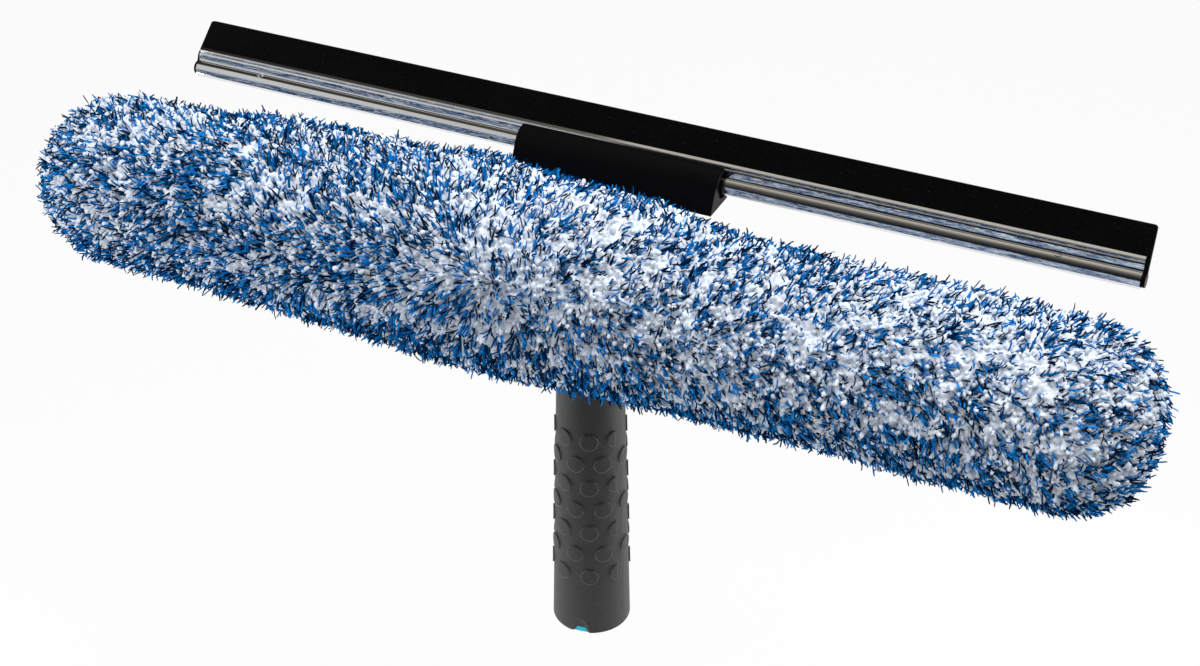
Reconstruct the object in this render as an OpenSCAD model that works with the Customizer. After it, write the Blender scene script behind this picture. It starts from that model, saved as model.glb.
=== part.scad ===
// Two-sided window cleaning squeegee: a soft-gripped handle carries a moulded head, with a
// microfibre scrubbing sleeve on a crossbar in front and a clamped squeegee channel behind.
// Frame: +Z runs up the handle, X along the blade, -Y is the scrubbing side.
// The origin is the centre of the pole socket's mouth.

/* [Handle] */
// Length of the soft grip
grip_length = 150; // [130:1:170]
// Diameter of the grip at its mouth
grip_bottom_d = 37.4; // [35:0.1:44]
// Diameter of the grip at its upper end
grip_top_d = 30.9; // [30:0.1:36]
// Diameter of the rigid tube under the grip, round the pole socket
core_lower_d = 29.4; // [28.6:0.1:31]
// Diameter of the rigid tube above the pole socket
core_upper_d = 24; // [23:0.1:27]
// Bore of the rigid tube above the pole socket, which takes the head's spigot
core_upper_bore = 18; // [14:0.1:20]

/* [Grip pads] */
// Diameter of one raised pad
pad_d = 8.4; // [6:0.1:10]
// Height of a pad above the grip
pad_height = 0.7; // [0.3:0.1:1.2]
// Rows of pads up the grip
pad_rows = 7; // [3:1:7]
// Pads in one row round the grip, always an even number
pads_per_row = 8; // [6:2:8]
// Height of the lowest row of pads
first_pad_z = 34.6; // [24:0.1:40]
// Distance between rows of pads
pad_pitch = 12.9; // [11:0.1:14]
// Angle from the mould's parting line within which a pad keeps only its far half
parting_reach = 30; // [5:1:40]

/* [Grip mouth] */
// Radius of the rounding round the grip's mouth
mouth_round = 1; // [0.4:0.1:1.2]
// Wall of the grip round the socket's flange
rim_wall = 1.4; // [1:0.1:2.2]
// Depth of the thumb scoop at the mouth, where it bares the socket's flange
scoop_depth = 2.4; // [1.6:0.1:3]
// Height of the thumb scoop
scoop_height = 10; // [6:0.5:16]
// Radius of the thumb scoop at the mouth
scoop_r = 8; // [5:0.5:12]
// Turn of the thumb scoop round the handle
scoop_turn = 8; // [-20:1:20]

/* [Pole socket] */
// Diameter of the bore that takes a pole's tip
socket_bore_d = 23; // [20:0.1:24]
// Depth of the bore
socket_depth = 55; // [35:1:70]
// Wall of the socket insert
socket_wall = 1.8; // [1.4:0.1:2.2]
// Thickness of the insert's closed end
socket_floor = 3; // [2:0.5:6]
// Thickness of the insert's flange
flange_thickness = 2.6; // [2:0.1:4]

/* [Head] */
// Height of the crossbar's axis above the handle's top
bar_rise = 52.3; // [48:0.1:60]
// Distance of the crossbar's axis in front of the handle's axis
bar_reach = 29.2; // [26:0.1:36]
// Width of the neck where it leaves the collar
neck_low_width = 22; // [18:1:26]
// Width of the neck from the saddle up
neck_width = 34; // [30:1:44]
// Distance of the neck's front and back faces from the handle's axis, at the collar
neck_reach = 11.5; // [10:0.5:13]
// Thickness of the neck's rim round its cored sides
neck_rim = 3.2; // [2.4:0.1:4.5]
// Thickness of the neck's central web
neck_web = 10; // [6:0.5:14]
// Radius of the gussets between the neck and the blade holder
gusset_r = 20; // [8:1:20]
// Diameter of the collar that stands on the grip
collar_d = 30; // [28:0.1:32]
// Height of the collar
collar_height = 5; // [3:0.5:8]
// Length of the spigot inside the handle
spigot_length = 42; // [25:1:60]
// Distance from the handle's top down to the cross pin
neck_pin_drop = 16; // [8:1:22]
// Diameter of the cross pin that holds the head in the handle
neck_pin_d = 4; // [3:0.1:6]
// Width of the saddle that carries the crossbar
saddle_width = 62; // [54:1:80]
// Height of the saddle
saddle_height = 20; // [16:0.5:24]
// Thickness of the saddle's ears
saddle_thickness = 4; // [3:0.1:6]

/* [Crossbar] */
// Length of the crossbar between its caps
bar_length = 464; // [300:1:560]
// Depth of the crossbar from front to back
bar_depth = 30; // [26:0.5:32]
// Height of the crossbar's section
bar_section_height = 36; // [34:0.5:42]
// Wall of the crossbar
bar_wall = 2.4; // [1.8:0.1:3]
// Length of the solid middle of the crossbar
bar_middle = 76; // [70:1:100]
// Thickness of a cap's flange
cap_flange = 3; // [2:0.5:5]
// Length of a cap's plug
cap_plug = 14; // [8:1:24]

/* [Sleeve] */
// Thickness of the sleeve and its pile past the crossbar's caps
sleeve_end_cover = 23.9; // [18:0.1:32]
// Diameter of the sleeve over its pile
sleeve_d = 79; // [70:0.5:92]
// Radius of the rounded ends of the sleeve
sleeve_end_r = 34; // [20:0.5:34.5]
// Thickness of one closure strip
strip_thickness = 1.3; // [0.8:0.1:2]
// Width of a closure strip
strip_width = 16; // [10:0.5:20]
// Distance from the closure strips to the crossbar's ends
strip_end_margin = 18; // [10:1:40]
// Distance from the closure strips to the saddle
strip_saddle_margin = 4; // [2:1:10]
// Width of the slit along the back, where the sleeve's edges meet
sleeve_slit = 1.2; // [0.8:0.1:2]

/* [Blade holder] */
// Width of the blade holder
holder_width = 98; // [80:1:120]
// Angle by which the blade leans back from the handle
blade_tilt = 23.7; // [15:0.1:30]
// Distance of the channel's lowest line behind the handle's axis
channel_back = 32.1; // [28:0.1:38]
// Height of the channel's lowest line above the handle's top
channel_rise = 78.4; // [76:0.1:88]
// Reach of the holder's front face in front of the channel's mid plane
holder_front = 9.5; // [8:0.1:12]
// Radius of the curve from the front face up to the holder's top edge
holder_curve_r = 10; // [6:0.5:13]
// Thickness of plastic under the channel
holder_under = 4.6; // [3.5:0.1:6]
// Width of the recess round the keyway at each end of the holder
lead_in = 1.5; // [0.5:0.1:2]
// Depth of that recess
lead_in_depth = 1.5; // [0.5:0.1:3]
// Thickness of the clamp plate behind the channel
clamp_wall = 2.8; // [2:0.1:4]
// Length of the clamp plate's tab down the back of the neck
tab_length = 20; // [16:0.5:26]
// Thickness of the clamp plate's tab
tab_thickness = 3.4; // [2.6:0.1:5]
// Width of the clamp plate's tab
tab_width = 30; // [24:0.5:34]

/* [Channel and blade] */
// Length of the channel
channel_length = 457; // [250:1:600]
// Distance that the channel is slid off the holder's middle
channel_offset = 5.7; // [-20:0.1:20]
// Height of the channel's section
channel_section = 14.1; // [12:0.1:16]
// Diameter of the channel's round keyway
keyway_d = 8.2; // [7.4:0.1:9.4]
// Thickness of the channel's sheet metal
sheet = 0.75; // [0.5:0.05:1]
// Height of the folded hem along each lip
hem_height = 1.6; // [1.2:0.1:2.2]
// Distance that a hem leans out past its lip
hem_reach = 0.85; // [0.4:0.05:1]
// Radius of a hem's fold
hem_r = 0.3; // [0.2:0.02:0.35]
// Height of the joggle under each hem, where the sheet steps out
joggle_height = 1.8; // [1.2:0.1:2.4]
// Width of that step
joggle_step = 0.75; // [0.4:0.05:0.9]
// Radius of the hollow along each face, between its joggle and the keyway
waist_r = 4.7; // [3.5:0.1:8]
// Distance from a channel end to its crimp
crimp_margin = 35; // [15:1:80]
// Depth of a crimp
crimp_depth = 0.5; // [0.1:0.05:0.6]
// Angle up round the keyway at which a crimp is struck
crimp_turn = 44; // [20:1:60]
// Thickness of the rubber blade
blade_thickness = 1.9; // [1.4:0.1:2.4]
// Height of rubber that stands out of the channel
blade_exposed = 13.3; // [8:0.1:20]
// Distance that the blade stands past each end of the channel
blade_overhang = 1.8; // [0:0.1:6]
// Distance by which the blade's left end is cut back at its wiping edge
blade_slant = 5.2; // [0:0.1:10]
// Radius of the blade's wiping corners
blade_corner_r = 1.6; // [0.5:0.1:4]

/* [Fasteners] */
// Shank diameter of the screws
screw_d = 3.4; // [2.5:0.1:4]
// Head diameter of the screws
screw_head_d = 6.4; // [5:0.1:7]
// Head height of the screws
screw_head_h = 2; // [1.5:0.1:3]
// Width across the socket in a screw's head
screw_key = 2.4; // [1.5:0.1:3]
// Distance between the two clamp screws
clamp_screw_spacing = 16; // [12:0.5:20]
// Distance between the two saddle screws
saddle_screw_spacing = 48; // [44:0.5:52]

/* [Fits] */
// Gap between pieces of one assembly that are fixed together
fit_gap = 0.1; // [0.05:0.01:0.2]
// Gap between the channel and the holder that it slides in
slide_gap = 0.3; // [0.2:0.05:0.5]
// Gap between the blade and the channel that it slides in
blade_gap = 0.25; // [0.15:0.05:0.4]
// Gap between the sleeve and what it goes round
soft_gap = 0.4; // [0.3:0.1:1]

/* [Hidden] */
$fn = 64;
// A length that passes right through whatever it cuts
through = 400;
// A small overlap that joins solids of one piece
join = 0.5;

// Radius of the grip's skin at height z
function grip_r(z) = (grip_bottom_d + (grip_top_d - grip_bottom_d) * z / grip_length) / 2;

// Pole socket
socket_r = socket_bore_d / 2;
socket_outer_r = socket_r + socket_wall;
socket_top = socket_depth + socket_floor;
flange_r = grip_bottom_d / 2 - rim_wall - fit_gap;

// Rigid tube: a wide stretch round the socket, a cone, and a narrow stretch round the spigot
core_lower_r = core_lower_d / 2;
core_upper_r = core_upper_d / 2;
core_bottom = flange_thickness + fit_gap;
core_cone_z = socket_top + fit_gap + 4;
core_cone_h = core_lower_r - core_upper_r + 4;
core_top = grip_length;
spigot_r = core_upper_bore / 2 - fit_gap;
neck_pin_z = core_top - neck_pin_drop;
neck_pin_half = core_upper_r - 2 * fit_gap;

// Crossbar and sleeve
bar_height = grip_length + bar_rise;
bar_end_r = bar_depth / 2;
bar_straight = bar_section_height - bar_depth;
bar_back = -bar_reach + bar_depth / 2;
bar_half = bar_length / 2;
sleeve_r = sleeve_d / 2;
sleeve_half = bar_half + fit_gap + cap_flange + sleeve_end_cover;
strip_y = bar_back + soft_gap;
strip_inner = saddle_width / 2 + strip_saddle_margin;
strip_outer = bar_half - strip_end_margin;
slit_z = bar_height - strip_width / 2 - soft_gap;

// Saddle
saddle_y = bar_back + fit_gap;
saddle_back = saddle_y + saddle_thickness;
saddle_low = bar_height - saddle_height / 2;
saddle_high = bar_height + saddle_height / 2;

// Channel section, measured up the blade from its lowest line
channel_height = grip_length + channel_rise;
keyway_r = keyway_d / 2;
web_half = blade_thickness / 2;
lip_inner = web_half + blade_gap;
lip_outer = lip_inner + sheet;
hem_s = channel_section - hem_height;
joggle_s = hem_s - joggle_height;
joggle_outer = lip_outer + joggle_step;
waist_drop = sqrt(waist_r * waist_r - pow(waist_r - joggle_step, 2));
crimp_r = 2.6;
crimp_out = keyway_r + crimp_r - crimp_depth;
blade_tip_s = channel_section + blade_exposed;
blade_half = channel_length / 2 + blade_overhang;

// Blade holder section, in the same measure
holder_top_s = hem_s - slide_gap;
pocket_r = keyway_r + slide_gap;
pocket_half = joggle_outer + slide_gap;
mouth_r = pocket_r + lead_in;
under_z = channel_height - holder_under;
clamp_back = pocket_r + clamp_wall;
// Where the holder's underside meets the blade's mid plane and the holder's front face
under_s = -holder_under / cos(blade_tilt);
front_under = blade_point(holder_front, under_s - holder_front * tan(blade_tilt));
screw_s = -(tab_length + 1) / 2;
screw_length = 10;

// Neck
neck_low = core_top + fit_gap;
neck_top_low = neck_low + collar_height;
neck_back_top = blade_point(0, -tab_length - neck_rim);
arm_back_y = sleeve_r - bar_reach + 2 * soft_gap;
gusset_z = under_z - gusset_r;

// Places children, drawn with Z up the blade and -Y out of its front, on the leaning blade
module on_blade() {
    translate([0, channel_back, channel_height]) rotate([-blade_tilt, 0, 0]) children();
}

// Extrudes a section drawn in (Y, Z) along X, centred on the middle
module along_x(length) {
    rotate([90, 0, 90]) linear_extrude(length, center = true) children();
}

// Extrudes a front view drawn in (X, Z) along Y, centred on the axis
module along_y(depth) {
    rotate([90, 0, 0]) linear_extrude(depth, center = true) children();
}

// A cylinder that lies along X
module rod_x(r, length) {
    rotate([0, 90, 0]) cylinder(r = r, h = length, center = true);
}

// A screw whose head stands on z = 0 and whose shank points down
module screw(length) {
    difference() {
        union() {
            translate([0, 0, -length]) cylinder(d = screw_d, h = length + join);
            cylinder(d = screw_head_d, h = screw_head_h);
        }
        translate([0, 0, screw_head_h / 2]) cylinder(d = screw_key, h = screw_head_h, $fn = 6);
    }
}

// The hole for a screw placed in the same way
module screw_hole(length) {
    translate([0, 0, -length]) cylinder(r = screw_d / 2 + fit_gap, h = length + through);
}

// ---- Handle ----

module pole_socket() {
    color([0.05, 0.68, 0.82]) difference() {
        union() {
            cylinder(r = flange_r, h = flange_thickness);
            cylinder(r = socket_outer_r, h = socket_top);
        }
        translate([0, 0, -join]) cylinder(r = socket_r, h = socket_depth + join);
    }
}

// Outline of the rigid tube, from the axis out, with its lower and upper widths grown by `more`
module core_outline(more) {
    polygon([
        [0, core_bottom], [core_lower_r + more, core_bottom],
        [core_lower_r + more, core_cone_z], [core_upper_r + more, core_cone_z + core_cone_h],
        [core_upper_r + more, core_top], [0, core_top]
    ]);
}

module handle_core() {
    color([0.16, 0.16, 0.17]) difference() {
        rotate_extrude() core_outline(0);
        cylinder(r = socket_outer_r + fit_gap, h = socket_top + fit_gap);
        cylinder(d = core_upper_bore, h = through);
        neck_pin_hole();
    }
}

// Cone of the grip's skin, grown by `more`
module grip_cone(more, low, high) {
    translate([0, 0, low])
        cylinder(r1 = grip_r(low) + more, r2 = grip_r(high) + more, h = high - low);
}

// Raised pads, one row after another, each row turned by half a step
module pads() {
    step = 360 / pads_per_row;
    low = first_pad_z - pad_d;
    high = first_pad_z + (pad_rows - 1) * pad_pitch + pad_d;
    intersection() {
        grip_cone(pad_height, low, high);
        for (row = [0 : pad_rows - 1], k = [0 : pads_per_row - 1])
            pad(step * (k + (row % 2 == 0 ? 0.5 : 0)), first_pad_z + row * pad_pitch);
    }
}

// One pad. The mould opens to the front and the back, so a pad that lies close to its parting
// line, but not on it, runs out flat on that side.
module pad(turn, z) {
    from_parting = turn % 180 - 90;
    near = abs(from_parting) > 1 && abs(from_parting) < parting_reach;
    rotate([0, 0, turn]) translate([0, 0, z]) rotate([90, 0, 0]) translate([0, 0, core_lower_r])
        intersection() {
            cylinder(d = pad_d, h = grip_bottom_d);
            if (near)
                translate([from_parting < 0 ? -pad_d : 0, -pad_d, 0])
                    cube([pad_d, 2 * pad_d, grip_bottom_d]);
        }
}

// Solid grip with a rounded mouth and a rounded shoulder
module grip_body() {
    shoulder = min(3, grip_top_d / 2 - core_upper_r - 0.5);
    intersection() {
        grip_cone(0, 0, grip_length);
        rotate_extrude() union() {
            square([grip_bottom_d / 2 - mouth_round, grip_length - shoulder]);
            translate([0, mouth_round])
                square([grip_bottom_d / 2, grip_length - mouth_round - shoulder]);
            translate([grip_bottom_d / 2 - mouth_round, mouth_round]) circle(mouth_round);
            square([grip_top_d / 2 - shoulder, grip_length]);
            translate([grip_top_d / 2 - shoulder, grip_length - shoulder]) circle(shoulder);
        }
    }
}

// Thumb scoop that runs out up the grip
module thumb_scoop() {
    scoop_axis = grip_bottom_d / 2 + scoop_r - scoop_depth;
    cone_h = scoop_height * scoop_r / scoop_depth;
    rotate([0, 0, scoop_turn]) translate([0, -scoop_axis, 0])
        cylinder(r1 = scoop_r, r2 = 0, h = cone_h);
}

module grip() {
    color([0.24, 0.24, 0.25]) difference() {
        union() {
            grip_body();
            pads();
        }
        rotate_extrude() core_outline(fit_gap);
        cylinder(r = flange_r + fit_gap, h = 2 * core_bottom, center = true);
        thumb_scoop();
    }
}

// The pin crosses the tube and the head's spigot, and the grip covers both its ends
module neck_pin() {
    color([0.7, 0.7, 0.72]) translate([0, 0, neck_pin_z]) rod_x(neck_pin_d / 2, 2 * neck_pin_half);
}

module neck_pin_hole() {
    translate([0, 0, neck_pin_z]) rod_x(neck_pin_d / 2 + fit_gap, core_lower_d);
}

// ---- Head ----

// Outer section of one half of the blade holder, drawn with x away from the blade's mid
// plane and y up the blade: a straight face that curves in to the holder's top edge
module holder_outline(reach) {
    curve = min(holder_curve_r, reach);
    over = max(0, pocket_half - (reach - curve));
    centre_s = holder_top_s - sqrt(curve * curve - over * over);
    translate([0, -through]) square([reach, through + centre_s]);
    intersection() {
        union() {
            translate([reach - curve, centre_s]) circle(curve);
            if (reach > curve) translate([0, centre_s]) square([reach - curve, curve]);
        }
        translate([0, centre_s - join]) square([reach, curve + join]);
    }
}

// Room for the channel: its keyway, its lips and the way out past them
module pocket_section() {
    translate([0, keyway_r]) circle(pocket_r);
    translate([-pocket_half, keyway_r]) square([2 * pocket_half, through]);
}

// The whole pocket through the holder, with a recess round the keyway at each end
module pocket() {
    along_x(2 * holder_width) pocket_section();
    for (side = [-1, 1])
        translate([side * holder_width / 2, 0, keyway_r]) rod_x(mouth_r, 2 * lead_in_depth);
}

// Side view of the neck: from the collar up its back to the holder, and down its front past
// the arm that reaches forward to the crossbar
module neck_side() {
    polygon([
        [-neck_reach, neck_low],
        [neck_reach, neck_low],
        [neck_reach, neck_top_low],
        neck_back_top,
        blade_point(0, under_s),
        blade_point(join, under_s / 2),
        [front_under[0] + neck_rim, under_z + join],
        [arm_back_y, saddle_high],
        [saddle_y, saddle_high],
        [saddle_y, saddle_low],
        [-neck_reach, saddle_low - neck_reach / 2]
    ]);
}

// Side view of the hollow in each side of the neck, one rim's thickness inside its outline
module neck_core_side() {
    low = neck_top_low + neck_rim;
    high = saddle_high - neck_rim;
    polygon([
        [neck_rim - neck_reach, low],
        [neck_reach - neck_rim, low],
        [neck_back_top[0] - neck_rim, neck_back_top[1] - neck_rim],
        [neck_back_top[0] - 2 * neck_rim, high],
        [neck_rim - neck_reach, high]
    ]);
}

// Front view of the gussets: the neck widens to the holder through a concave quarter round
module gusset_front() {
    half = neck_width / 2 - join + gusset_r;
    difference() {
        translate([-half, gusset_z]) square([2 * half, gusset_r + join]);
        for (side = [-1, 1]) translate([side * half, gusset_z]) circle(gusset_r);
    }
}

// Side view of the gussets, behind the sleeve
module gusset_side() {
    polygon([
        [arm_back_y, gusset_z],
        [blade_point(join, -gusset_r)[0], gusset_z],
        blade_point(join, -gusset_r),
        blade_point(join, under_s / 2),
        [front_under[0] + neck_rim, under_z + join],
        [arm_back_y, saddle_high]
    ]);
}

// A point n in front of the blade's mid plane and s up it, as (Y, Z)
function blade_point(n, s) = [
    channel_back + s * sin(blade_tilt) - n * cos(blade_tilt),
    channel_height + s * cos(blade_tilt) + n * sin(blade_tilt)
];

module head() {
    color([0.045, 0.045, 0.05]) difference() {
        union() {
            spigot();
            holder_half(-1, holder_front);
            neck();
            gussets();
            saddle();
        }
        on_blade() pocket();
        head_holes();
    }
}

module spigot() {
    translate([0, 0, core_top - spigot_length]) cylinder(r = spigot_r, h = spigot_length + join);
    translate([0, 0, neck_low]) cylinder(d = collar_d, h = collar_height);
}

// Half of the blade holder on one side of the blade, -1 in front and 1 behind, cut off level
// below the channel
module holder_half(side, reach) {
    intersection() {
        on_blade() along_x(holder_width) mirror([side < 0 ? 1 : 0, 0]) holder_outline(reach);
        translate([0, 0, under_z + through / 2])
            cube([2 * holder_width, through, through], center = true);
    }
}

// Front view of the neck, which widens from the collar to the saddle
module neck_front() {
    low = neck_low_width / 2;
    high = neck_width / 2;
    polygon([
        [-low, neck_low], [low, neck_low], [high, saddle_low],
        [high, channel_height], [-high, channel_height], [-high, saddle_low]
    ]);
}

// The neck is cored from both sides, which leaves a web in its middle
module neck() {
    difference() {
        intersection() {
            along_x(neck_width) neck_side();
            along_y(through) neck_front();
        }
        for (side = [-1, 1])
            translate([side * (neck_width + neck_web) / 4, 0, 0])
                along_x((neck_width - neck_web) / 2) neck_core_side();
    }
}

module gussets() {
    intersection() {
        along_y(through) gusset_front();
        along_x(2 * holder_width) gusset_side();
    }
}

module saddle() {
    translate([-saddle_width / 2, saddle_y, saddle_low])
        cube([saddle_width, saddle_thickness, saddle_height]);
}

module head_holes() {
    saddle_screw_places() screw_hole(screw_length);
    clamp_screw_places() screw_hole(screw_length);
    neck_pin_hole();
}

module clamp_screw_places() {
    for (side = [-1, 1])
        on_blade() translate([side * clamp_screw_spacing / 2, tab_thickness, screw_s])
            rotate([-90, 0, 0]) children();
}

module saddle_screw_places() {
    for (side = [-1, 1])
        translate([side * saddle_screw_spacing / 2, saddle_back, bar_height])
            rotate([-90, 0, 0]) children();
}

// The clamp plate closes the pocket from behind and is screwed to the neck by its tab
module clamp_plate() {
    color([0.05, 0.05, 0.055]) difference() {
        union() {
            holder_half(1, clamp_back);
            on_blade() translate([-tab_width / 2, 0, -tab_length])
                cube([tab_width, tab_thickness, tab_length]);
        }
        on_blade() pocket();
        on_blade() along_x(2 * holder_width)
            translate([-through, -through]) square([through + fit_gap, 2 * through]);
        clamp_screw_places() screw_hole(screw_length);
    }
}

module clamp_screws() {
    color([0.7, 0.7, 0.72]) clamp_screw_places() screw(screw_length);
}

module saddle_screws() {
    color([0.7, 0.7, 0.72]) saddle_screw_places() screw(screw_length);
}

// ---- Squeegee ----

// Section of the channel: a round keyway, two faces hollowed to a waist, and above them the
// joggles and the hems
module channel_section_outline() {
    difference() {
        union() {
            translate([0, keyway_r]) circle(keyway_r);
            for (side = [0, 1]) mirror([side, 0]) difference() {
                lip_section();
                translate([lip_outer + waist_r, joggle_s - waist_drop - 0.1]) circle(waist_r);
            }
        }
        translate([0, keyway_r]) circle(keyway_r - sheet);
        translate([-lip_inner, keyway_r]) square([2 * lip_inner, through]);
    }
}

// Section of one face, to the right of the blade: the flat that the waist is hollowed from, the
// step of the joggle, and a hem that leans out between two round folds
module lip_section() {
    step_low = 0.4 * joggle_height;
    step_high = 0.8 * joggle_height;
    lean = tan(8);
    top = [lip_inner + hem_r, channel_section - hem_r];
    foot = [lip_outer + hem_reach - hem_r, hem_s + hem_r];
    way = (foot - top) / norm(foot - top);
    out = [-way[1], way[0]] * 0.95 * hem_r;
    polygon([
        [0, keyway_r], [joggle_outer, keyway_r], [joggle_outer, joggle_s],
        [joggle_outer - lean * step_low, joggle_s + step_low],
        [lip_outer + lean * (joggle_height - step_high), joggle_s + step_high],
        [lip_outer, hem_s], [foot[0], hem_s + 0.05 * hem_r], foot + out, top + out,
        [0, channel_section - hem_r]
    ]);
    translate(top) circle(hem_r);
    translate(foot) circle(hem_r);
}

module channel() {
    color([0.85, 0.86, 0.88]) translate([channel_offset, 0, 0]) on_blade() difference() {
        along_x(channel_length) channel_section_outline();
        for (end = [-1, 1], face = [0, 1])
            translate([end * (channel_length / 2 - crimp_margin), 0, keyway_r])
                mirror([0, face, 0]) rotate([crimp_turn, 0, 0]) translate([0, crimp_out, 0])
                    sphere(crimp_r);
    }
}

module rubber_blade() {
    color([0.03, 0.03, 0.035]) translate([channel_offset, 0, 0]) on_blade() intersection() {
        along_x(2 * blade_half) union() {
            translate([0, keyway_r]) circle(keyway_r - sheet - blade_gap);
            translate([-web_half, keyway_r]) square([blade_thickness, blade_tip_s - keyway_r]);
        }
        along_y(through) blade_front();
    }
}

// Front view of the blade: the left end is cut slanting from the joggle up, and the wiping
// corners are rounded
module blade_front() {
    tip_left = -blade_half + blade_slant;
    difference() {
        polygon([
            [-blade_half, 0], [blade_half, 0], [blade_half, blade_tip_s],
            [tip_left, blade_tip_s], [-blade_half, joggle_s]
        ]);
        mirror([1, 0]) corner_cut(blade_half, 0);
        corner_cut(-tip_left, blade_slant);
    }
}

// What the rounded corner of an end takes off at the wiping edge, drawn for the left end: its
// circle touches that edge and the end, which leans by slant on its way up from the joggle
module corner_cut(x, slant) {
    way = [slant, blade_tip_s - joggle_s] / norm([slant, blade_tip_s - joggle_s]);
    centre = [-x + blade_corner_r * (1 - way[0]) / way[1], blade_tip_s - blade_corner_r];
    difference() {
        polygon([
            centre, centre + (blade_corner_r + join) * [-way[1], way[0]],
            [-x - join, blade_tip_s + join], [centre[0], blade_tip_s + join]
        ]);
        translate(centre) circle(blade_corner_r);
    }
}

// ---- Scrubber ----

// Section of the crossbar, grown by `more`: two half rounds with straight sides between
module bar_section(more) {
    for (side = [-1, 1])
        translate([0, side * bar_straight / 2]) circle(bar_end_r + more);
    square([2 * (bar_end_r + more), bar_straight], center = true);
}

module on_bar() {
    translate([0, -bar_reach, bar_height]) children();
}

module crossbar() {
    color([0.1, 0.1, 0.11]) difference() {
        on_bar() along_x(bar_length) bar_section(0);
        for (side = [-1, 1])
            on_bar() translate([side * (bar_half + bar_middle / 2) / 2, 0, 0])
                along_x(bar_half - bar_middle / 2 + join / 2) bar_section(-bar_wall);
        saddle_screw_places() screw_hole(screw_length);
    }
}

module cap(side) {
    color([0.1, 0.1, 0.11]) on_bar() translate([side * (bar_half + fit_gap), 0, 0])
        rotate([0, side > 0 ? 0 : 180, 0]) {
            translate([cap_flange / 2, 0, 0]) along_x(cap_flange) bar_section(0);
            translate([-cap_plug / 2, 0, 0]) along_x(cap_plug + join)
                bar_section(-bar_wall - fit_gap);
        }
}

module cap_left() { cap(-1); }

module cap_right() { cap(1); }

module sleeve() {
    color([0.62, 0.76, 0.92]) difference() {
        on_bar() rotate([0, 90, 0]) rotate_extrude() sleeve_outline();
        on_bar() along_x(bar_length + 2 * (cap_flange + fit_gap + soft_gap))
            bar_section(soft_gap);
        neck_opening();
        closure();
    }
}

// Half outline of the sleeve, turned about its own axis
module sleeve_outline() {
    half = sleeve_half - sleeve_end_r;
    translate([0, -sleeve_half]) square([sleeve_r - sleeve_end_r, 2 * sleeve_half]);
    translate([0, -half]) square([sleeve_r, 2 * half]);
    intersection() {
        for (side = [-1, 1])
            translate([sleeve_r - sleeve_end_r, side * half]) circle(sleeve_end_r);
        translate([0, -sleeve_half]) square([sleeve_r, 2 * sleeve_half]);
    }
}

// Opening in the back of the sleeve through which the neck reaches the crossbar, and the room
// behind the crossbar for the saddle and its screws
module neck_opening() {
    width = neck_width + 2 * soft_gap;
    top = saddle_high + soft_gap;
    room = [
        saddle_width + 2 * soft_gap,
        saddle_thickness + screw_head_h + 2 * soft_gap,
        saddle_height + 2 * soft_gap
    ];
    translate([-width / 2, saddle_y - soft_gap, top - through]) cube([width, through, through]);
    translate([-room[0] / 2, saddle_y - soft_gap, saddle_low - soft_gap]) cube(room);
}

// Room inside the sleeve for the two layers of strip that fasten its edges together, and the
// slit along its back where those edges meet
module closure() {
    for (side = [-1, 1]) {
        strip_block(side, bar_back, 2 * (strip_thickness + soft_gap) + fit_gap, soft_gap);
        translate([side < 0 ? -strip_outer : 0, bar_back, slit_z])
            cube([strip_outer, sleeve_d, sleeve_slit]);
    }
}

// A block behind the crossbar on one side of the neck, with its front face at y, as long and
// wide as the closure strips and grown by `more` at its ends and edges
module strip_block(side, y, thickness, more) {
    length = strip_outer - strip_inner + 2 * more;
    width = strip_width + 2 * more;
    translate([side * (strip_inner + strip_outer) / 2, y + thickness / 2, bar_height])
        cube([length, thickness, width], center = true);
}

module hook_strips() {
    color([0.09, 0.09, 0.1]) for (side = [-1, 1])
        strip_block(side, strip_y, strip_thickness, 0);
}

module loop_strips() {
    color([0.85, 0.86, 0.9]) for (side = [-1, 1])
        strip_block(side, strip_y + strip_thickness + fit_gap, strip_thickness, 0);
}

pole_socket();
handle_core();
grip();
neck_pin();
head();
clamp_plate();
clamp_screws();
channel();
rubber_blade();
crossbar();
cap_left();
cap_right();
saddle_screws();
sleeve();
hook_strips();
loop_strips();
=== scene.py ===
"""Looks of a two-sided window squeegee: a soft-gripped handle, a moulded head, a bright channel
with its rubber blade, and a microfibre scrubbing sleeve. Lengths are in metres and angles in
radians. +Z runs up the handle, X along the blade, and -Y is the scrubbing side."""

import math

import bpy
import numpy as np
from mathutils import Matrix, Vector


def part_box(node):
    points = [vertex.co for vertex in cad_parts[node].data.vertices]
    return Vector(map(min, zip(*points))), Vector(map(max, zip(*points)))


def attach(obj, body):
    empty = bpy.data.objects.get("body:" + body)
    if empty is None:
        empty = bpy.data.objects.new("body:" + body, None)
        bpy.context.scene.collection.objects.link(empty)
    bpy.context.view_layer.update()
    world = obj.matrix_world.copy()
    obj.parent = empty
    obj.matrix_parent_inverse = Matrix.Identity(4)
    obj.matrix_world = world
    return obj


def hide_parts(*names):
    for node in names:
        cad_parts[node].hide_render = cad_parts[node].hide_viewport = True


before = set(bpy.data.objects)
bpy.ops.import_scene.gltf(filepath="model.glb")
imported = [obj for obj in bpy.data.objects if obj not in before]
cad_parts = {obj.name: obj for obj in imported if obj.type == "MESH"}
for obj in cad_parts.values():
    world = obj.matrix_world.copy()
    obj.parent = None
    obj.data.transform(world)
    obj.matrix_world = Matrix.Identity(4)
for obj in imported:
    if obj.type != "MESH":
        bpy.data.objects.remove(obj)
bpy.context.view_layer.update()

bl_info = {
    "name": "Window Squeegee",
    "version": (1, 0, 0),
    "blender": (4, 5, 0),
    "location": "3D View > Sidebar > Squeegee",
    "description": "Dresses a two-sided window squeegee and makes its microfibre sleeve",
    "category": "Object",
}

MM = 0.001

BLACK_PLASTIC = (0.02, 0.02, 0.022)

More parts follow.
